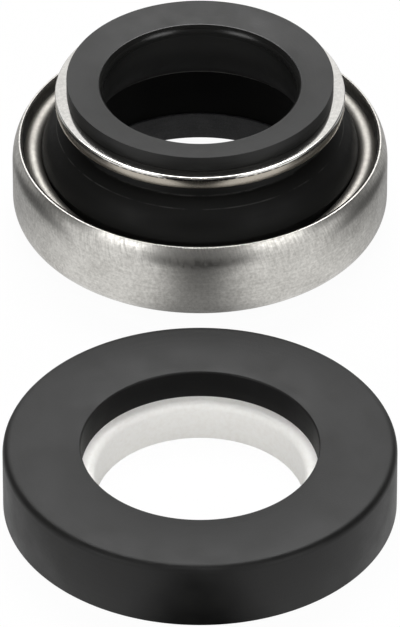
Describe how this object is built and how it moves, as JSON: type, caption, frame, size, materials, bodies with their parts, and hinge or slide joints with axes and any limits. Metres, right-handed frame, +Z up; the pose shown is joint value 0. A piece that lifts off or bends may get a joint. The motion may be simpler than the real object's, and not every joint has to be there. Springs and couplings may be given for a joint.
{
  "type": "mechanical seal",
  "caption": "Rubber bellows mechanical seal set: a sprung rotary head in a pressed steel case with a carbon face ring, and a ceramic seat ring in a rubber cup.",
  "frame": {"origin": "on the floor, at the middle of the set's outline", "axes": "+Z up along the two shaft axes, +Y from the seat to the rotary head, +X to the right of someone looking along +Y"},
  "size_m": [0.0496, 0.1098, 0.022],
  "materials": {
    "seat_rubber": "matte moulded nitrile rubber",
    "alumina": "fine ground alumina",
    "case_steel": "satin pressed stainless sheet",
    "carbon": "lapped carbon graphite",
    "spring_steel": "bright drawn stainless wire",
    "bellows_rubber": "semi-matte moulded nitrile rubber",
    "ring_steel": "bright punched stainless plate"
  },
  "bodies": {
    "set": {"steel_case": "case_steel", "carbon_ring": "carbon", "coil_spring": "spring_steel", "ceramic_ring": "alumina", "seat_cup": "seat_rubber"},
    "tail": {"rubber_bellows": "bellows_rubber", "clamp_ring": "ring_steel"}
  },
  "joints": [
    {"name": "tail_press", "type": "slide", "parent": "set", "child": "tail", "axis": [0, 0, -1], "range_m": [0, 0.003], "stiffness_N_per_m": 3000, "deforming": ["rubber_bellows", "coil_spring"]}
  ]
}
